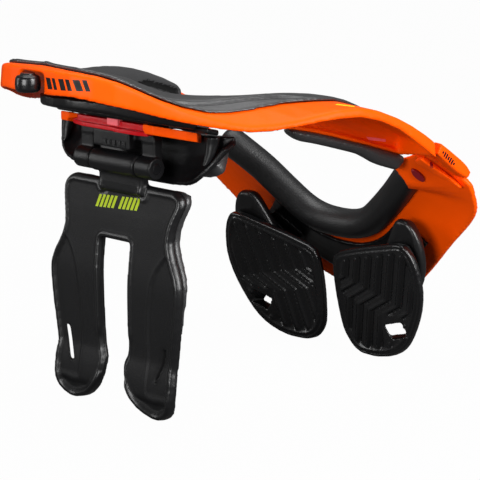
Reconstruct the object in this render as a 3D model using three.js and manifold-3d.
// Motocross neck brace: a stiff horseshoe that rests on the shoulders, a hinged strut
// down the back, and a front half that swings open, with two ribbed pads on the chest.
// Millimetres, +Z up. The wearer faces -Y, the wearer's left is +X.
// The origin is on the floor, in the middle of the object's box.
import * as THREE from "three";
import { mergeVertices } from "three/addons/utils/BufferGeometryUtils.js";
import Module from "manifold-3d";

const wasm = await Module();
wasm.setup();

// Main sizes
const HALF_WIDTH = 132; // centre line to the outside of a shoulder
const REACH = 150; // hinge side: origin to the rear nose
const TALL = 227; // floor to the top of the rear rim
const WALL = 2.8; // moulded shell
const RIM = 3.2; // rear rim and arm edge
const BIB_WALL = 2.6; // front shell
const PAD_DEPTH = 5; // foam on top of the horseshoe
const GAP = 0.35; // between pieces that touch
const CENTRE_Y = 5.6; // hinge side's own origin to the middle of the whole

// Strut at the back
const STRUT_HALF = 59.5;
const STRUT_TALL = 146;
const STRUT_FACE = 86; // y of the outer face
const STRUT_PLATE = 5;
const STRUT_FOAM = 6;
const HINGE_Y = 81;
const HINGE_Z = 159.5;
const BARREL_R = 7.4;
const PIN_R = 2.4;

// Front half
const ROLL_R = 9.4;
const CHEST_HALF = 91;
const CHEST_TALL = 85;


const V = (x, y, z) => new THREE.Vector3(x, y, z);
const lerp = THREE.MathUtils.lerp;

// Smooth curve through the rows of a table, read out at any share of its length.
function smooth(rows) {
  const names = Object.keys(rows[0]);
  const cubic = (a, b, c, d, t) =>
    b + 0.5 * t * (c - a + t * (2 * a - 5 * b + 4 * c - d + t * (3 * (b - c) + d - a)));
  return (share) => {
    const at = THREE.MathUtils.clamp(share, 0, 1) * (rows.length - 1);
    const i = Math.min(Math.floor(at), rows.length - 2);
    const t = at - i;
    const row = (k) => rows[THREE.MathUtils.clamp(k, 0, rows.length - 1)];
    const out = {};
    for (const n of names) out[n] = cubic(row(i - 1)[n], row(i)[n], row(i + 1)[n], row(i + 2)[n], t);
    return out;
  };
}

// A triangle list as a closed geometry whose equal corners are shared.
function closed(points, faces) {
  const flat = new Float32Array(faces.length * 9);
  faces.forEach((f, k) => f.forEach((p, j) => points[p].toArray(flat, k * 9 + j * 3)));
  const g = new THREE.BufferGeometry();
  g.setAttribute("position", new THREE.BufferAttribute(flat, 3));
  return mergeVertices(g, 1e-4);
}

// Solid between closed rings of equal length. The two ends are filled with flat triangles.
function loft(rings) {
  const n = rings[0].length;
  const points = rings.flat();
  const end = (rings.length - 1) * n;
  const faces = [];
  for (let i = 0; i + 1 < rings.length; i++)
    for (let j = 0; j < n; j++) {
      const a = i * n + j;
      const b = i * n + ((j + 1) % n);
      faces.push([a, b, b + n], [a, b + n, a + n]);
    }
  // Each end is a strip that runs back and forth between the two halves of its ring.
  for (let j = 0, k = n - 1; j + 1 < k; )
    for (const step of [1, 0]) {
      if (j + 1 >= k) break;
      const [a, b, c] = step ? [j, j + 1, k] : [j, k - 1, k];
      faces.push([a, c, b], [a + end, b + end, c + end]);
      if (step) j++;
      else k--;
    }
  return outward(closed(points, faces));
}

// Shell of a grid of surface points: the grid is the outer face, the wall lies behind it.
function inward(grid, wall) {
  const rows = grid.length;
  const cols = grid[0].length;
  const depth = typeof wall === "function" ? wall : () => wall;
  const normals = grid.map((r) => r.map(() => V(0, 0, 0)));
  const own = grid.map((r) => r.map(() => []));
  for (let i = 0; i + 1 < rows; i++)
    for (let j = 0; j + 1 < cols; j++) {
      const n = grid[i + 1][j + 1].clone().sub(grid[i][j]);
      n.cross(grid[i + 1][j].clone().sub(grid[i][j + 1])).normalize();
      for (const [a, b] of [[i, j], [i + 1, j], [i, j + 1], [i + 1, j + 1]]) {
        normals[a][b].add(n);
        own[a][b].push(n);
      }
    }
  return grid.map((r, i) =>
    r.map((p, j) => {
      const n = normals[i][j].normalize();
      const miter = Math.max(0.6, Math.min(...own[i][j].map((m) => m.dot(n))));
      return p.clone().addScaledVector(n, -depth(i / (rows - 1), j / (cols - 1), i, j) / miter);
    }),
  );
}
function shell(grid, wall) {
  const back = inward(grid, wall);
  return loft(grid.map((r, i) => [...r, ...back[i].slice().reverse()]));
}

// Turns a geometry the right way out.
function outward(g) {
  const p = g.getAttribute("position");
  const ix = g.index.array;
  let volume = 0;
  for (let k = 0; k < ix.length; k += 3) {
    const [a, b, c] = [0, 1, 2].map((s) => V().fromBufferAttribute(p, ix[k + s]));
    volume += a.dot(b.cross(c));
  }
  if (volume < 0) for (let k = 0; k < ix.length; k += 3) [ix[k + 1], ix[k + 2]] = [ix[k + 2], ix[k + 1]];
  return g;
}

// Joins and cuts.
function toSolid(geometry) {
  const bare = geometry.index ? geometry.toNonIndexed() : geometry.clone();
  for (const name of Object.keys(bare.attributes)) if (name !== "position") bare.deleteAttribute(name);
  const g = mergeVertices(bare, 1e-4);
  return new wasm.Manifold(
    new wasm.Mesh({
      numProp: 3,
      vertProperties: new Float32Array(g.attributes.position.array),
      triVerts: new Uint32Array(g.index.array),
    }),
  );
}
function toGeometry(solid) {
  const m = solid.getMesh();
  const flat = new Float32Array(m.numVert * 3);
  for (let i = 0; i < m.numVert; i++)
    for (let k = 0; k < 3; k++) flat[i * 3 + k] = m.vertProperties[i * m.numProp + k];
  const g = new THREE.BufferGeometry();
  g.setAttribute("position", new THREE.BufferAttribute(flat, 3));
  g.setIndex(new THREE.BufferAttribute(new Uint32Array(m.triVerts), 1));
  return mainBody(g);
}
// Crumbs that a boolean leaves where two curved faces graze each other are dropped: only
// the largest closed body stays.
function mainBody(g) {
  const p = g.getAttribute("position");
  const ix = g.index.array;
  const root = Array.from({ length: p.count }, (_, i) => i);
  const top = (i) => {
    while (root[i] !== i) i = root[i] = root[root[i]];
    return i;
  };
  for (let k = 0; k < ix.length; k += 3) {
    root[top(ix[k + 1])] = top(ix[k]);
    root[top(ix[k + 2])] = top(ix[k]);
  }
  const volume = new Map();
  for (let k = 0; k < ix.length; k += 3) {
    const [a, b, c] = [0, 1, 2].map((s) => V().fromBufferAttribute(p, ix[k + s]));
    volume.set(top(ix[k]), (volume.get(top(ix[k])) ?? 0) + a.dot(b.cross(c)));
  }
  const main = [...volume].reduce((a, b) => (b[1] > a[1] ? b : a))[0];
  const place = new Map();
  const flat = [];
  const kept = [];
  for (const i of ix) {
    if (top(i) !== main) continue;
    if (!place.has(i)) {
      place.set(i, place.size);
      flat.push(p.getX(i), p.getY(i), p.getZ(i));
    }
    kept.push(place.get(i));
  }
  const out = new THREE.BufferGeometry();
  out.setAttribute("position", new THREE.BufferAttribute(new Float32Array(flat), 3));
  out.setIndex(new THREE.BufferAttribute(new Uint32Array(kept), 1));
  return out;
}
const cut = (g, ...tools) => toGeometry(tools.reduce((s, t) => s.subtract(toSolid(t)), toSolid(g)));
const join = (g, ...more) => toGeometry(more.reduce((s, t) => s.add(toSolid(t)), toSolid(g)));

// Simple solids, placed.
function block(w, d, h, x, y, z, turn = 0) {
  const g = new THREE.BoxGeometry(w, d, h);
  if (turn) g.rotateZ(turn);
  return g.translate(x, y, z);
}
function rod(r, length, x, y, z, sides = 24) {
  return new THREE.CylinderGeometry(r, r, length, sides).rotateZ(Math.PI / 2).translate(x, y, z);
}
// A flat outline in X and Z, made thick along Y, with softened edges.
function plate(outline, y, thick, soft = 0.8) {
  const shape = new THREE.Shape(outline.map(([x, z]) => new THREE.Vector2(x, z)));
  const g = new THREE.ExtrudeGeometry(shape, {
    depth: thick - 2 * soft,
    bevelEnabled: soft > 0,
    bevelThickness: soft,
    bevelSize: soft,
    bevelOffset: -soft,
    bevelSegments: 1,
    steps: 1,
  });
  return g.rotateX(Math.PI / 2).translate(0, y - soft, 0);
}
const mirrorX = (g) => {
  const m = g.clone().applyMatrix4(new THREE.Matrix4().makeScale(-1, 1, 1));
  const merged = m.index ? m : mergeVertices(m, 1e-4);
  return outward(merged);
};

// The horseshoe, from the middle of the rear nose to the front end of one arm.
// x: share of HALF_WIDTH, y: share of REACH, top, low, ridge, hole, wall: shares of TALL.
// holeX, holeY: the edge of the neck opening. along: where the ridge lies between rim and
// opening. from, fold: where the top pad starts and creases, on the same scale.
const HORSESHOE = [
  { x: 0.000, y: 1.000, top: 0.9965, low: 0.9242, holeX: 0.000, holeY: 0.613, along: 0.30, ridge: 0.9974,
    hole: 0.9313, wall: 0.8855, from: 0.19, fold: 0.24 },
  { x: 0.121, y: 0.992, top: 0.9952, low: 0.9278, holeX: 0.068, holeY: 0.610, along: 0.28, ridge: 0.9938,
    hole: 0.9313, wall: 0.8855, from: 0.16, fold: 0.21 },
  { x: 0.246, y: 0.963, top: 0.9912, low: 0.9278, holeX: 0.144, holeY: 0.593, along: 0.25, ridge: 0.9903,
    hole: 0.9278, wall: 0.8811, from: 0.11, fold: 0.18 },
  { x: 0.364, y: 0.877, top: 0.9736, low: 0.9088, holeX: 0.227, holeY: 0.560, along: 0.29, ridge: 0.9797,
    hole: 0.9163, wall: 0.8678, from: 0.06, fold: 0.15 },
  { x: 0.436, y: 0.780, top: 0.9427, low: 0.8899, holeX: 0.295, holeY: 0.513, along: 0.36, ridge: 0.9427,
    hole: 0.8987, wall: 0.8524, from: 0.03, fold: 0.16 },
  { x: 0.500, y: 0.707, top: 0.9132, low: 0.8722, holeX: 0.348, holeY: 0.467, along: 0.42, ridge: 0.9242,
    hole: 0.8855, wall: 0.8370, from: 0.03, fold: 0.18 },
  { x: 0.591, y: 0.590, top: 0.8780, low: 0.8502, holeX: 0.409, holeY: 0.387, along: 0.50, ridge: 0.9141,
    hole: 0.8744, wall: 0.8238, from: 0.04, fold: 0.28 },
  { x: 0.689, y: 0.473, top: 0.8524, low: 0.8339, holeX: 0.455, holeY: 0.300, along: 0.55, ridge: 0.9101,
    hole: 0.8656, wall: 0.8128, from: 0.16, fold: 0.41 },
  { x: 0.765, y: 0.367, top: 0.8436, low: 0.8260, holeX: 0.485, holeY: 0.220, along: 0.60, ridge: 0.9075,
    hole: 0.8612, wall: 0.8040, from: 0.29, fold: 0.51 },
  { x: 0.856, y: 0.213, top: 0.8546, low: 0.8374, holeX: 0.515, holeY: 0.100, along: 0.71, ridge: 0.9022,
    hole: 0.8590, wall: 0.7974, from: 0.40, fold: 0.62 },
  { x: 0.917, y: 0.080, top: 0.8700, low: 0.8476, holeX: 0.530, holeY: 0.000, along: 0.77, ridge: 0.8930,
    hole: 0.8502, wall: 0.7863, from: 0.40, fold: 0.70 },
  { x: 0.962, y: -0.067, top: 0.8687, low: 0.8436, holeX: 0.553, holeY: -0.127, along: 0.84, ridge: 0.8731,
    hole: 0.8348, wall: 0.7665, from: 0.50, fold: 0.78 },
  { x: 0.985, y: -0.233, top: 0.8326, low: 0.8040, holeX: 0.583, holeY: -0.273, along: 0.89, ridge: 0.8388,
    hole: 0.8062, wall: 0.7379, from: 0.66, fold: 0.84 },
  { x: 0.996, y: -0.367, top: 0.7885, low: 0.7489, holeX: 0.625, holeY: -0.427, along: 0.92, ridge: 0.7930,
    hole: 0.7665, wall: 0.7070, from: 0.80, fold: 0.90 },
  { x: 1.000, y: -0.473, top: 0.7445, low: 0.7026, holeX: 0.667, holeY: -0.567, along: 0.93, ridge: 0.7445,
    hole: 0.7181, wall: 0.6762, from: 0.86, fold: 0.92 },
];

const STATIONS = 44; // along the whole horseshoe
const horseshoe = smooth(HORSESHOE);
function station(s) {
  const r = horseshoe(Math.abs(s));
  const side = Math.sign(s) || 1;
  const rim = V(side * r.x * HALF_WIDTH * (Math.abs(s) > 1e-9 ? 1 : 0), r.y * REACH, 0);
  const hole = V(side * r.holeX * HALF_WIDTH * (Math.abs(s) > 1e-9 ? 1 : 0), r.holeY * REACH, 0);
  const span = hole.distanceTo(rim);
  const top = r.top * TALL;
  const ridge = r.ridge * TALL;
  const line = (q) => top + (ridge - top) * Math.min(1, q / r.along);
  const at = (q, z) => V(lerp(rim.x, hole.x, q), lerp(rim.y, hole.y, q), z);
  const from = Math.min(r.from, r.along - 0.02);
  const fold = Math.min(Math.max(r.fold, from + 0.01), r.along - 0.01);
  return { ...r, span, top, ridge, line, at, from, fold, low: r.low * TALL, hole: r.hole * TALL, wall: r.wall * TALL };
}
const spread = (from, to, n) => Array.from({ length: n + 1 }, (_, i) => lerp(from, to, i / n));
const SHARES = spread(-1, 1, STATIONS);

// Outer face of the section at one station, from the bottom of the rim over the deck and
// down the wall beside the opening.
function profile(s) {
  const c = station(s);
  const mm = (d) => d / c.span;
  return [
    c.at(-mm(1.4), c.low),
    c.at(-mm(0.6), lerp(c.low, c.top, 0.5)),
    c.at(0, c.top - 1),
    c.at(mm(1), c.top),
    c.at(Math.max(c.from, mm(2.4)), c.line(c.from)),
    c.at(c.along, c.ridge - PAD_DEPTH),
    c.at((c.along + 1) / 2, (c.ridge + c.hole) / 2 - PAD_DEPTH + 1),
    c.at(1 - mm(2), c.hole - PAD_DEPTH),
    c.at(1, c.hole - PAD_DEPTH - 2),
    c.at(1 + mm(0.2), lerp(c.hole - PAD_DEPTH - 2, c.wall, 0.5)),
    c.at(1, c.wall),
    c.at(1 - mm(8), c.wall + 1),
  ];
}
// The arms are open below and closed by a web at their front ends.
function rearShell() {
  const body = shell(SHARES.map(profile), (u, v, i, j) => (j < 4 ? RIM : WALL));
  const web = (side) => {
    const inset = (ring) => {
      const mid = ring.reduce((t, p) => t.add(p), V(0, 0, 0)).divideScalar(ring.length);
      return ring.map((p) => p.clone().lerp(mid, 0.02));
    };
    return loft([inset(profile(side)), inset(profile(side * 0.985))]);
  };
  return join(body, web(1), web(-1));
}

function topPad() {
  const rings = SHARES.slice(2, -2).map((s) => {
    const c = station(s);
    const mm = (d) => d / c.span;
    const edge = Math.max(c.from, mm(2.4)) + mm(0.2);
    const mid = (c.along + 1) / 2;
    const deck = (q) => lerp(c.line(c.from), c.ridge - PAD_DEPTH, (q - c.from) / (c.along - c.from));
    return [
      c.at(edge, c.line(c.from) + GAP + 0.1),
      c.at(edge, c.line(c.from) + 1.6),
      c.at(edge + mm(1.5), c.line(c.from) + 2.6),
      c.at(c.fold, c.line(c.fold) + 1.6),
      c.at(c.along, c.ridge),
      c.at(lerp(c.along, mid, 0.5), lerp(c.ridge, (c.ridge + c.hole) / 2 + 1.5, 0.45)),
      c.at(mid, (c.ridge + c.hole) / 2 + 1.5),
      c.at(1 - mm(1.5), c.hole - 0.5),
      c.at(1 + mm(2.5), c.hole - 3),
      c.at(1 + mm(3.5), c.hole - PAD_DEPTH - 2),
      c.at(1 + mm(3), c.hole - PAD_DEPTH - 6),
      c.at(1 + mm(0.5), c.hole - PAD_DEPTH - 6),
      c.at(1 + mm(0.5), c.hole - PAD_DEPTH - 1.8 + GAP),
      c.at(1 - mm(2), c.hole - PAD_DEPTH + GAP + 0.2),
      c.at(mid, (c.ridge + c.hole) / 2 - PAD_DEPTH + 1 + GAP + 0.1),
      c.at(c.along, c.ridge - PAD_DEPTH + GAP + 0.1),
      c.at(lerp(edge, c.along, 0.5), deck(lerp(edge, c.along, 0.5)) + GAP + 0.1),
    ];
  });
  return loft(rings);
}

// Foam strip along the bottom of each arm's inner wall, thicker at its front end.
const ARM_FOAM = { start: 0.71, end: 1, depth: 5, bulge: 4 };
function armFoam() {
  return loft(
    spread(ARM_FOAM.start, ARM_FOAM.end, 16).map((s, i) => {
      const c = station(s);
      const mm = (d) => d / c.span;
      const swell = THREE.MathUtils.smoothstep(i / 16, 0.6, 0.8);
      const end = Math.sqrt(Math.max(0.12, Math.min(1, i / 1.5, (16.25 - i) / 1.2)));
      const drop = (ARM_FOAM.depth + ARM_FOAM.bulge * swell) * end;
      const z = c.wall - GAP - 0.1;
      return [
        c.at(1 - mm(8.5), z + 0.6),
        c.at(1 - mm(8.8), z - 0.5 * drop),
        c.at(1 - mm(7), z - 0.9 * drop),
        c.at(1 - mm(3), z - drop),
        c.at(1 + mm(1), z - 0.85 * drop),
        c.at(1 + mm(2.5), z - 0.4 * drop),
        c.at(1 + mm(2), z - 0.1),
        c.at(1 - mm(3), z),
      ];
    }),
  );
}

// The front shell, from the seam with one arm to the middle of its lower edge.
// outer and inner edges: shares of HALF_WIDTH, REACH and TALL. thick: share of BIB_WALL at
// the outer edge.
const FRONT = [
  { x: 0.913, y: -0.506, z: 0.7247, inX: 0.606, inY: -0.590, inZ: 0.6542, thick: 2.2 },
  { x: 0.917, y: -0.547, z: 0.7093, inX: 0.629, inY: -0.597, inZ: 0.6366, thick: 2.2 },
  { x: 0.917, y: -0.613, z: 0.6850, inX: 0.648, inY: -0.607, inZ: 0.6211, thick: 2.2 },
  { x: 0.936, y: -0.693, z: 0.6454, inX: 0.659, inY: -0.623, inZ: 0.6035, thick: 1.8 },
  { x: 0.992, y: -0.737, z: 0.6057, inX: 0.659, inY: -0.647, inZ: 0.5881, thick: 1.5 },
  { x: 0.992, y: -0.763, z: 0.5705, inX: 0.629, inY: -0.693, inZ: 0.5749, thick: 1.4 },
  { x: 0.977, y: -0.797, z: 0.5357, inX: 0.568, inY: -0.740, inZ: 0.5793, thick: 1.4 },
  { x: 0.939, y: -0.833, z: 0.4978, inX: 0.530, inY: -0.757, inZ: 0.5608, thick: 1.4 },
  { x: 0.856, y: -0.867, z: 0.4493, inX: 0.477, inY: -0.780, inZ: 0.5352, thick: 1.4 },
  { x: 0.742, y: -0.897, z: 0.3899, inX: 0.417, inY: -0.800, inZ: 0.5066, thick: 1.4 },
  { x: 0.606, y: -0.953, z: 0.3198, inX: 0.341, inY: -0.823, inZ: 0.4692, thick: 1.4 },
  { x: 0.455, y: -1.022, z: 0.2489, inX: 0.250, inY: -0.847, inZ: 0.4273, thick: 1.4 },
  { x: 0.303, y: -1.079, z: 0.1894, inX: 0.167, inY: -0.860, inZ: 0.4053, thick: 1.4 },
  { x: 0.152, y: -1.127, z: 0.1476, inX: 0.083, inY: -0.865, inZ: 0.3943, thick: 1.4 },
  { x: 0.000, y: -1.143, z: 0.1344, inX: 0.000, inY: -0.867, inZ: 0.3912, thick: 1.4 },
];
// Centre line of the foam roll, from its upper end to the middle.
const ROLL = [
  { x: 0.667, y: -0.695, z: 0.6264 },
  { x: 0.606, y: -0.720, z: 0.6004 },
  { x: 0.530, y: -0.757, z: 0.5639 },
  { x: 0.455, y: -0.790, z: 0.5264 },
  { x: 0.341, y: -0.823, z: 0.4692 },
  { x: 0.227, y: -0.851, z: 0.4194 },
  { x: 0.114, y: -0.863, z: 0.3965 },
  { x: 0.000, y: -0.867, z: 0.3912 },
];
const rollLine = smooth(ROLL);
const front = smooth(FRONT);
function frontRow(s) {
  const r = front(1 - Math.abs(s));
  const side = Math.abs(s) < 1e-9 ? 0 : Math.sign(s);
  return {
    outer: V(side * r.x * HALF_WIDTH, r.y * REACH, r.z * TALL),
    inner: V(side * r.inX * HALF_WIDTH, r.inY * REACH, r.inZ * TALL),
    thick: r.thick,
  };
}
function roll(radius, past = 0) {
  const count = 40;
  const at = (s) => {
    const r = rollLine(1 - Math.abs(s));
    return V(Math.sign(s) * r.x * HALF_WIDTH * (Math.abs(s) > 1e-9 ? 1 : 0), r.y * REACH, r.z * TALL);
  };
  return loft(
    spread(-1, 1, count).map((s, i) => {
      const ahead = at(Math.min(1, s + 0.04)).sub(at(Math.max(-1, s - 0.04))).normalize();
      const side = V(0, 0, 1).cross(ahead).normalize();
      const up = ahead.clone().cross(side);
      const end = Math.min(i, count - i);
      const c = at(s).addScaledVector(ahead, end ? 0 : Math.sign(s) * past);
      const r = radius * [0.62, 0.9, 1][Math.min(end, 2)];
      return Array.from({ length: 12 }, (_, k) => {
        const a = (k / 12) * 2 * Math.PI;
        return c.clone().addScaledVector(side, r * Math.cos(a)).addScaledVector(up, r * Math.sin(a));
      });
    }),
  );
}
// A point of the front shell's front face, bowed forward between its edges.
const BOW = 5;
function frontFace(s, q, bow = BOW) {
  const c = frontRow(s);
  return c.inner.lerp(c.outer, q).addScaledVector(V(0, 1, 0.25).normalize(), -bow * Math.sin(Math.PI * q));
}
function frontShell() {
  const grid = spread(-1, 1, 48).map((s) => [0, 0.18, 0.36, 0.54, 0.72, 0.88, 1].map((q) => frontFace(s, q)));
  const thick = (u, v, i, j) => BIB_WALL * (j > 4 ? lerp(1, frontRow(lerp(-1, 1, u)).thick, (j - 4) / 2) : 1);
  return cut(shell(grid, thick), roll(ROLL_R + GAP, 1), edgeBar(1, GAP), edgeBar(-1, 0.8),
    rearShell().translate(0, -GAP, 0));
}

// The bar on the outer edge between seam and kink: a lever on the right, a fixed cover on
// the left. Share of HALF_WIDTH, REACH and TALL; half: half height in mm.
const BAR = [
  { x: 0.965, y: -0.503, z: 0.7225, half: 3.9 },
  { x: 0.965, y: -0.547, z: 0.7040, half: 4.1 },
  { x: 0.965, y: -0.613, z: 0.6749, half: 4.3 },
  { x: 0.967, y: -0.673, z: 0.6476, half: 4.0 },
  { x: 0.967, y: -0.707, z: 0.6300, half: 2.6 },
];
// Outline of one chest pad and of the carrier behind it, from the bottom up.
// z: share of CHEST_TALL, inner and outer: shares of CHEST_HALF.
const CHEST = [
  { z: 0.000, inner: 0.301, outer: 0.418 },
  { z: 0.031, inner: 0.213, outer: 0.571 },
  { z: 0.094, inner: 0.147, outer: 0.703 },
  { z: 0.188, inner: 0.097, outer: 0.802 },
  { z: 0.341, inner: 0.073, outer: 0.896 },
  { z: 0.506, inner: 0.061, outer: 0.967 },
  { z: 0.671, inner: 0.063, outer: 1.000 },
  { z: 0.824, inner: 0.097, outer: 0.989 },
  { z: 0.894, inner: 0.246, outer: 0.973 },
  { z: 0.953, inner: 0.444, outer: 0.951 },
  { z: 1.005, inner: 0.641, outer: 0.918 },
  { z: 1.045, inner: 0.795, outer: 0.879 },
];
const CARRIER = [
  { z: 0.541, inner: 0.505, outer: 0.769 },
  { z: 0.659, inner: 0.505, outer: 0.879 },
  { z: 0.800, inner: 0.527, outer: 0.940 },
  { z: 0.941, inner: 0.571, outer: 0.956 },
  { z: 1.071, inner: 0.637, outer: 0.940 },
  { z: 1.165, inner: 0.692, outer: 0.901 },
  { z: 1.224, inner: 0.747, outer: 0.846 },
];
const bar = smooth(BAR);
const BAR_HALF = 4.4;
function edgeBar(side, grow = 0) {
  return loft(
    spread(0, 1, 10).map((s) => {
      const r = bar(s);
      const ahead = bar(Math.min(1, s + 0.05));
      const behind = bar(Math.max(0, s - 0.05));
      const along = V(0, (ahead.y - behind.y) * REACH, (ahead.z - behind.z) * TALL).normalize();
      const up = V(0, along.z, -along.y);
      const c = V(side * r.x * HALF_WIDTH, r.y * REACH, r.z * TALL);
      const slant = (1 - s) ** 3;
      const ends = s === 0 ? -grow : s === 1 ? grow : 0;
      return [[-1, -0.8], [-1, 0.8], [-0.75, 1], [0.75, 1], [1, 0.7], [1, -0.7], [0.75, -1], [-0.75, -1]].map(
        ([a, b]) =>
          c.clone().add(V(side * a * (BAR_HALF + grow), -slant * 1.4 * (1 - a), 0))
            .addScaledVector(up, b * (r.half + grow)).addScaledVector(along, ends),
      );
    }),
  );
}
// A point behind the front shell. s: -1 at the right seam, 1 at the left one.
// q: 0 at the inner edge, 1 at the outer. lift: mm off the back face. bow: 0 leaves it out.
function frontPoint(s, q, lift, bow = BOW) {
  const along = frontFace(s + 0.01, q, bow).sub(frontFace(s - 0.01, q, bow));
  const across = frontFace(s, q + 0.01, bow).sub(frontFace(s, q - 0.01, bow));
  return frontFace(s, q, bow).addScaledVector(along.cross(across).normalize(), lift + BIB_WALL);
}
// Raised wedge beside the latch lever, and the oval release button near it.
function latchWedge() {
  const rows = [[-0.97, 0.62, 3.2], [-0.93, 0.62, 3.8], [-0.84, 0.64, 3.8], [-0.76, 0.68, 3], [-0.71, 0.74, 1.6]];
  return loft(
    rows.map(([s, q, h]) => [
      frontPoint(s, q, 0.3),
      frontPoint(s, 0.87, 1.7),
      frontPoint(s, 0.865, 1.3 + h, 0),
      frontPoint(s, q + 0.09, 1.3 + h, 0),
    ]),
  );
}
const BUTTON = { s: -0.83, q: 0.3, long: 6.5, wide: 2.6, tall: 2 };
function releaseButton(grow = 0) {
  const c = frontPoint(BUTTON.s, BUTTON.q, 0.5);
  const u = frontPoint(BUTTON.s + 0.03, BUTTON.q, 0.5).sub(c).normalize();
  const n = frontPoint(BUTTON.s, BUTTON.q, 1.5).sub(c).normalize();
  const w = n.clone().cross(u);
  const ring = (k, h) => Array.from({ length: 20 }, (_, i) => {
    const t = (i / 20) * 2 * Math.PI;
    return c.clone().addScaledVector(u, k * (BUTTON.long + grow) * Math.cos(t))
      .addScaledVector(w, k * (BUTTON.wide + grow) * Math.sin(t)).addScaledVector(n, h);
  });
  return loft([ring(1, 0), ring(1, BUTTON.tall - 0.6), ring(0.86, BUTTON.tall)]);
}

// Face of the chest pads: leans back toward the top and toward the outside.
const chestY = (x, z) => -126.2 + 0.2 * z + 0.085 * x;
function slab(rows, half, setBack, side = 1, sides = 16) {
  const curve = smooth(rows);
  return loft(
    spread(0, 1, rows.length * 2 - 2).map((s, i, all) => {
      const r = curve(s);
      const a = r.inner * CHEST_HALF;
      const b = r.outer * CHEST_HALF;
      const z = r.z * CHEST_TALL;
      const thin = half * (i === 0 || i === all.length - 1 ? 0.55 : 1);
      const c = (a + b) / 2;
      const w = (b - a) / 2;
      return Array.from({ length: sides }, (_, k) => {
        const t = ((k + 0.5) / sides) * 2 * Math.PI;
        const bend = (v, p) => Math.sign(v) * Math.abs(v) ** p;
        const x = c + w * bend(Math.cos(t), 0.45);
        return V(side * x, chestY(x, z) - setBack - half + thin * bend(Math.sin(t), 0.6), z);
      });
    }),
  );
}
const PAD_HALF = 4;
const STRAP_HOLE = { x: 60, z: 24.5, w: 10.5, h: 10.5, turn: 0.5, skew: 0.85 };
function chestPad(side) {
  const { x, z, w, h, turn, skew } = STRAP_HOLE;
  const hole = new THREE.BoxGeometry(w, 60, h).rotateY(-side * turn).rotateZ(-side * skew);
  return cut(slab(CHEST, PAD_HALF, 0, side), hole.translate(side * x, chestY(x, z) - PAD_HALF, z));
}
const CARRIER_HALF = 5;
const CARRIER_BACK = 2 * PAD_HALF + GAP + 0.1;
const chestCarrier = (side) => slab(CARRIER, CARRIER_HALF, CARRIER_BACK, side, 12);
// The bridge lies on the back of the front shell below the roll. A foot on each side
// reaches back to a carrier.
const BRIDGE = { reach: 0.31, low: 0.2, high: 0.72, thick: 3 };
const FOOT = { from: 0.2, to: 0.29, low: 0.5, high: 0.72 };
function padBridge() {
  const plate = loft(
    spread(-BRIDGE.reach, BRIDGE.reach, 18).map((s) => {
      const qs = spread(BRIDGE.low, BRIDGE.high, 4);
      const skin = qs.map((q) => frontPoint(s, q, 0.55));
      return [...skin, ...qs.map((q) => frontPoint(s, q, 0.55 + BRIDGE.thick)).reverse()];
    }),
  );
  const feet = [-1, 1].map((side) => {
    const { from, to, low, high } = FOOT;
    const root = [[from, low], [to, low], [to, high], [from, high]].map(([s, q]) => frontPoint(side * s, q, 1.5));
    const reach = CARRIER_BACK + 2 * CARRIER_HALF + GAP;
    return loft([root, root.map((p) => V(p.x, chestY(Math.abs(p.x), p.z) - reach, p.z))]);
  });
  return join(plate, ...feet);
}

// The back strut. z: share of STRUT_TALL, half: outer half width, slot: inner edge of a
// prong (0 above the slot), as shares of STRUT_HALF. y: distance from STRUT_FACE in mm.
const STRUT = [
  { z: 0.002, half: 0.700, slot: 0.600, y: 1.0 },
  { z: 0.021, half: 0.805, slot: 0.450, y: 0.0 },
  { z: 0.055, half: 0.885, slot: 0.318, y: -1.5 },
  { z: 0.110, half: 0.918, slot: 0.205, y: -2.3 },
  { z: 0.178, half: 0.928, slot: 0.151, y: -1.6 },
  { z: 0.226, half: 0.913, slot: 0.148, y: -0.2 },
  { z: 0.260, half: 0.918, slot: 0.185, y: 0.8 },
  { z: 0.342, half: 0.946, slot: 0.202, y: 0.6 },
  { z: 0.438, half: 0.975, slot: 0.205, y: 0.2 },
  { z: 0.534, half: 0.997, slot: 0.210, y: 0.0 },
  { z: 0.603, half: 0.997, slot: 0.215, y: 0.2 },
  { z: 0.664, half: 0.945, slot: 0.218, y: 1.0 },
  { z: 0.719, half: 0.871, slot: 0.218, y: 2.0 },
  { z: 0.788, half: 0.817, slot: 0.218, y: 3.2 },
  { z: 0.870, half: 0.854, slot: 0.218, y: 5.0 },
  { z: 0.940, half: 0.910, slot: 0.218, y: 8.2 },
  { z: 0.982, half: 0.870, slot: 0.218, y: 9.6 },
  { z: 1.000, half: 0.780, slot: 0.218, y: 10.0 },
];
const SLOT_TOP = 110; // z where the two prongs meet
const strut = smooth(STRUT);
// One layer of the strut: both prongs and the web that joins them. near and far are its
// depths behind the face at the share z. edge and inner: how far it stays inside the
// outline, outside and along the slot.
function strutLayer(near, far, edge, inner, rise = 0) {
  const rows = spread(0, 1, 34).map((s) => strut(s));
  const part = (side, kind) =>
    loft(
      rows
        .filter((r) => r.z >= rise && (kind === "prong" || r.z * STRUT_TALL > SLOT_TOP + inner - 4))
        .map((r) => {
          const z = r.z * STRUT_TALL - (r.z > 0.99 ? edge : 0);
          const y = STRUT_FACE - r.y;
          const b = r.half * STRUT_HALF - edge;
          const a = kind === "prong" ? r.slot * STRUT_HALF + inner : -b;
          const skin = kind === "web" ? 0.12 : 0;
          const [n, f] = [near(r.z) - skin, far(r.z) + skin];
          const soft = Math.min(1.6, (b - a) / 6);
          const round = Math.min(1.2, (n - f) / 3);
          return [[a, f], [a, n - round], [a + soft, n], [(a + b) / 2, n + 0.3], [b - soft, n],
            [b, n - round], [b, f]].map(([x, d]) => V(side * x, y + d, z));
        }),
    );
  return join(part(1, "prong"), part(-1, "prong"), part(1, "web"));
}
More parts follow.
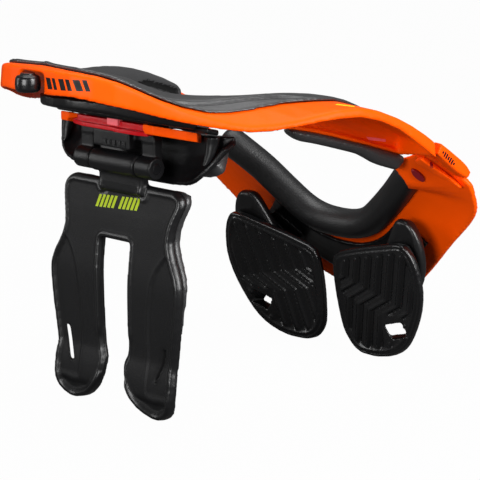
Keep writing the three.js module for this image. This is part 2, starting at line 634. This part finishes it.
const SLIT = { x: 43.5, z: 36, long: 23, wide: 2.4, lean: 0.14, skew: 0.75 };
// Strap slits, cut slantwise toward the outer edges.
function slits(grow = 0) {
  return [-1, 1].map((side) => {
    const g = new THREE.BoxGeometry(SLIT.wide + grow, 60, SLIT.long + grow).rotateY(side * SLIT.lean);
    return g.rotateZ(side * SLIT.skew).translate(side * SLIT.x, STRUT_FACE - 2, SLIT.z);
  });
}
const TONGUE = { half: 20, x: -1, thick: 6.5, y: 76.6 };
function strutPlate() {
  const low = STRUT_TALL - 6;
  const tall = HINGE_Z - low;
  const tongue = block(2 * TONGUE.half, TONGUE.thick, tall, TONGUE.x, TONGUE.y, low + tall / 2);
  const barrel = rod(BARREL_R, 2 * TONGUE.half + 1, TONGUE.x, HINGE_Y, HINGE_Z);
  const bore = rod(PIN_R + GAP, 90, 0, HINGE_Y, HINGE_Z, 20);
  const layer = strutLayer(() => 0, () => -STRUT_PLATE, 0, 0);
  return cut(join(layer, tongue, barrel), bore, ...slits());
}
const foamDeep = (z) => THREE.MathUtils.lerp(1.6, STRUT_FOAM, THREE.MathUtils.smoothstep(z, 0.34, 0.75));
function strutFoam() {
  const back = -STRUT_PLATE - GAP - 0.3;
  const clear = block(70, 40, 20, 0, 74, STRUT_TALL + 1.5);
  return cut(strutLayer(() => back, (z) => back - foamDeep(z), 1.5, 7, 0.36), clear);
}

// Hinge block with a knuckle on each side, and the pin.
const SLIDE = { low: 180.7, thick: 3.4, half: 34.5 };
const BLOCK = { half: 16.5, x: -0.5, y: 81, deep: 11, low: 169.6, high: SLIDE.low - GAP };
const KNUCKLE = { in: 20.9, out: 35, r: BARREL_R - 0.5 };
function hingeBlock() {
  const tall = BLOCK.high - BLOCK.low;
  const body = block(2 * BLOCK.half, BLOCK.deep, tall, BLOCK.x, BLOCK.y, BLOCK.low + tall / 2);
  const yoke = block(2 * KNUCKLE.out - 4, 8, 5, TONGUE.x, 78, BLOCK.high - 2.5);
  const sides = [-1, 1].flatMap((side) => {
    const wide = KNUCKLE.out - KNUCKLE.in;
    const x = TONGUE.x + (side * (KNUCKLE.out + KNUCKLE.in)) / 2;
    return [rod(KNUCKLE.r, wide, x, HINGE_Y, HINGE_Z), block(wide - 3, 7, 18, x, 78.2, HINGE_Z + 8.9)];
  });
  return cut(join(body, yoke, ...sides), rod(PIN_R + GAP, 90, 0, HINGE_Y, HINGE_Z, 20));
}
const hingePin = () => rod(PIN_R, 2 * KNUCKLE.out - 9, TONGUE.x, HINGE_Y, HINGE_Z, 20);

// A level plate: its rear outline as pairs of half width and y, closed at the front edge.
function level(outline, front, z, thick) {
  const right = outline.map(([x, y]) => new THREE.Vector2(x, y));
  const left = right.map((p) => new THREE.Vector2(-p.x, p.y)).reverse();
  const end = outline.at(-1)[0] - 6;
  const shape = new THREE.Shape([...left, ...right, new THREE.Vector2(end, front), new THREE.Vector2(-end, front)]);
  const g = new THREE.ExtrudeGeometry(shape, { depth: thick, bevelEnabled: false }).translate(0, 0, z);
  for (const name of ["normal", "uv"]) g.deleteAttribute(name);
  return outward(mergeVertices(g, 1e-4));
}
// Orange carrier: follows the V of the rail and slopes down toward the front, with a
// channel below it for the red slide. The black base lies on it.
const PLATE = { low: 182.6, thick: 5.8, fall: 0.24, y: 90 };
function sloped(g) {
  const p = g.getAttribute("position");
  for (let i = 0; i < p.count; i++) p.setZ(i, p.getZ(i) - PLATE.fall * (PLATE.y - p.getY(i)));
  return g;
}
function orangePlate() {
  const g = sloped(level([[30, 84], [34, 91], [42, 90], [51, 81], [57, 76], [60, 70]], 60, PLATE.low, PLATE.thick));
  const top = SLIDE.low + SLIDE.thick + GAP;
  return cut(g, block(2 * SLIDE.half + 1.2, 60, 20, 0, 80, top - 10), block(60, 20, 40, 0, 62, 180));
}
const redSlide = () =>
  level([[8, 87], [22, 87], [24, 85], [31, 85], [SLIDE.half, 86.5], [SLIDE.half, 80]], 74, SLIDE.low, SLIDE.thick);
const BASE_OUTLINE = [[4, 122], [13, 118.5], [23, 109], [35, 96.5], [45, 84.5], [52, 74], [54, 71], [70, 70], [71, 62]];
const baseBlock = () => sloped(level(BASE_OUTLINE, 58, PLATE.low + PLATE.thick + 0.45, 3.6));

// Cradle behind the neck: a dished shell with its lower rim turned back and its ends bent
// forward. x: half width, low: bottom edge, y: depth at the bottom edge, top: depth above.
const CRADLE_HALF = 71;
const CRADLE_TOP = 180;
const CRADLE_WALL = 3;
const CRADLE = [
  { x: 0.000, low: 0.6485, y: 0.430, top: 0.400 },
  { x: 0.282, low: 0.6485, y: 0.430, top: 0.400 },
  { x: 0.493, low: 0.6529, y: 0.437, top: 0.397 },
  { x: 0.704, low: 0.6661, y: 0.457, top: 0.390 },
  { x: 0.845, low: 0.6894, y: 0.470, top: 0.377 },
  { x: 0.944, low: 0.7247, y: 0.450, top: 0.353 },
  { x: 1.007, low: 0.7709, y: 0.400, top: 0.327 },
];
const cradleAt = smooth(CRADLE);
function cradleGrid(reach, from, to) {
  return spread(-reach, reach, Math.round(30 * reach)).map((s) => {
    const r = cradleAt(Math.abs(s) ** 1.1);
    return [0, 0.1, 0.3, 0.55, 0.8, 1].map((k) => {
      const v = lerp(from, to, k);
      const y = lerp(r.y, r.top, Math.min(1, 1.6 * v) ** 0.7) * REACH;
      return V(Math.sign(s) * r.x * CRADLE_HALF, y, lerp(r.low * TALL, CRADLE_TOP, v));
    });
  });
}
const neckCradle = () => shell(cradleGrid(1, 0, 1), CRADLE_WALL);
const cradleCushion = () => shell(inward(cradleGrid(12 / 15, 0.22, 0.96), CRADLE_WALL + 0.5), 8);
// Flared posts from the cradle's ends up to the carrier.
function post(side) {
  const rows = [[181.2, 5.6, 4.4, 66, 62.8], [177, 4.6, 4, 66, 63], [171, 3.6, 3.2, 66, 64.5], [166, 2.8, 2.2, 65, 66.5], [163.5, 1.6, 1.2, 64.5, 68.5]];
  return loft(
    rows.map(([z, w, d, x, y]) =>
      Array.from({ length: 12 }, (_, k) => {
        const t = (k / 12) * 2 * Math.PI;
        return V(side * x + w * Math.cos(t), y + d * Math.sin(t), z);
      }),
    ),
  );
}

// Under the rear deck: a rail along each side of the nose.
const RAIL = [
  { x: 0.000, y: 0.887, z: 0.8789 },
  { x: 0.106, y: 0.863, z: 0.8767 },
  { x: 0.212, y: 0.793, z: 0.8692 },
  { x: 0.318, y: 0.703, z: 0.8524 },
  { x: 0.409, y: 0.613, z: 0.8370 },
  { x: 0.492, y: 0.503, z: 0.8211 },
];
const rail = smooth(RAIL);
const RAIL_WIDE = 9;
const RAIL_TALL = 7;
// Height of the underside of a geometry straight above a point.
function ceiling(geometry) {
  const mesh = new THREE.Mesh(geometry, new THREE.MeshBasicMaterial({ side: THREE.DoubleSide }));
  const ray = new THREE.Raycaster();
  return (x, y, z) => {
    ray.set(V(x, y, z), V(0, 0, 1));
    return ray.intersectObject(mesh)[0]?.point.z ?? z;
  };
}
// The flange on its inner side reaches up to the deck.
const FLANGE = 3;
function rearRail() {
  const edge = (s) => {
    const r = rail(Math.abs(s));
    return V(Math.abs(s) < 1e-9 ? 0 : Math.sign(s) * r.x * HALF_WIDTH, r.y * REACH, r.z * TALL);
  };
  const deck = ceiling(rearShell());
  return loft(
    spread(-1, 1, 28).map((s) => {
      const ahead = edge(Math.min(1, s + 0.03)).sub(edge(Math.max(-1, s - 0.03)));
      const across = V(ahead.y, -ahead.x, 0).normalize();
      const c = edge(s);
      const at = (u, h) => c.clone().addScaledVector(across, u).add(V(0, 0, h));
      const up = (u) => {
        const p = at(u, RAIL_TALL);
        return p.setZ(Math.max(p.z + 0.5, deck(p.x, p.y, p.z) - GAP - 0.15));
      };
      const inner = RAIL_WIDE - FLANGE;
      return [at(1.2, 0), at(0, 1.4), at(0, RAIL_TALL), at(inner, RAIL_TALL), up(inner), up(RAIL_WIDE), at(RAIL_WIDE, 0)];
    }),
  );
}

// Rubber stop at the nose, and the scoop in the rear rim that it stands in.
const STOP = { y: 152.3, z: 216.6, r: 7.9, tall: 10 };
const SCOOP_TOP = 6.8;
function stopScoop() {
  const r = STOP.r + 3.6;
  const profile = [[0, -9], [r, -9], [r, SCOOP_TOP - 1.6], [r - 1, SCOOP_TOP], [0, SCOOP_TOP]];
  const g = new THREE.LatheGeometry(profile.map(([x, z]) => new THREE.Vector2(x, z)), 28);
  return g.rotateX(Math.PI / 2).translate(0, STOP.y, STOP.z);
}
function rubberStop() {
  const h = STOP.tall / 2;
  const r = STOP.r;
  const profile = [[0, -h], [r - 1.6, -h], [r - 0.2, -h + 1.8], [r, 0], [r - 0.4, h - 1.4], [r - 1.6, h],
    [r - 3.5, h], [r - 3.5, SCOOP_TOP - GAP], [0, SCOOP_TOP - GAP]];
  const g = new THREE.LatheGeometry(profile.map(([x, z]) => new THREE.Vector2(x, z)), 28);
  return g.rotateX(Math.PI / 2).translate(0, STOP.y, STOP.z);
}

// Pin of the side hinge, at the wearer's left, about which the front half swings.
const SIDE_PIN = { x: 130.2, y: -71.4, z: 164, r: 1.5, tall: 9 };
const sidePin = (grow = 0) =>
  new THREE.CylinderGeometry(SIDE_PIN.r + grow, SIDE_PIN.r + grow, SIDE_PIN.tall + 20 * grow, 16)
    .rotateX(Math.PI / 2).translate(SIDE_PIN.x, SIDE_PIN.y, SIDE_PIN.z);

const paint = {
  orange: new THREE.MeshStandardMaterial({ color: 0xff6a0a, roughness: 0.42, metalness: 0 }),
  black: new THREE.MeshStandardMaterial({ color: 0x151517, roughness: 0.45, metalness: 0 }),
  foam: new THREE.MeshStandardMaterial({ color: 0x242427, roughness: 0.85, metalness: 0 }),
  rubber: new THREE.MeshStandardMaterial({ color: 0x101012, roughness: 0.5, metalness: 0 }),
  red: new THREE.MeshStandardMaterial({ color: 0xc4121c, roughness: 0.25, metalness: 0 }),
  steel: new THREE.MeshStandardMaterial({ color: 0x9a9ca0, roughness: 0.35, metalness: 1 }),
};

const brace = new THREE.Group();
function add(name, geometry, material) {
  const mesh = new THREE.Mesh(geometry, material.clone());
  mesh.name = name;
  brace.add(mesh);
  return mesh;
}

add("rear_shell", cut(rearShell(), stopScoop(), sidePin(GAP), block(6, 4, 40, SIDE_PIN.x + 2.6, SIDE_PIN.y - 0.4, SIDE_PIN.z)), paint.orange);
add("rear_top_pad", cut(topPad(), rearShell().translate(0, 0, GAP)), paint.foam);
add("arm_foam_left", armFoam(), paint.foam);
add("arm_foam_right", mirrorX(armFoam()), paint.foam);
add("rubber_stop", rubberStop(), paint.rubber);
add("rear_rail", rearRail(), paint.black);
add("orange_plate", orangePlate(), paint.orange);
add("red_slide", redSlide(), paint.red);
add("base_block", cut(baseBlock(), rearRail().translate(0, 0, -GAP)), paint.black);
add("hinge_block", hingeBlock(), paint.black);
add("hinge_pin", hingePin(), paint.steel);
add("back_strut", strutPlate(), paint.black);
add("strut_foam", strutFoam(), paint.foam);
add("neck_cradle", neckCradle(), paint.black);
add("cradle_cushion", cradleCushion(), paint.foam);
add("cradle_post_left", post(1), paint.black);
add("cradle_post_right", post(-1), paint.black);
add("front_shell", frontShell(), paint.orange);
add("front_roll", roll(ROLL_R), paint.foam);
add("chest_pad_left", chestPad(1), paint.rubber);
add("chest_pad_right", chestPad(-1), paint.rubber);
add("pad_carrier_left", chestCarrier(1), paint.black);
add("pad_carrier_right", chestCarrier(-1), paint.black);
add("pad_bridge", padBridge(), paint.black);
add("latch_lever", edgeBar(-1), paint.orange);
add("latch_wedge", cut(latchWedge(), rearShell().translate(0, -GAP, 0)), paint.orange);
add("release_button", releaseButton(), paint.red);
add("hinge_cover", cut(edgeBar(1), sidePin(GAP)), paint.orange);
add("side_hinge_pin", sidePin(), paint.steel);

// The box's centre goes over the origin.
for (const mesh of brace.children) mesh.geometry.translate(0, CENTRE_Y, 0);

export default brace;
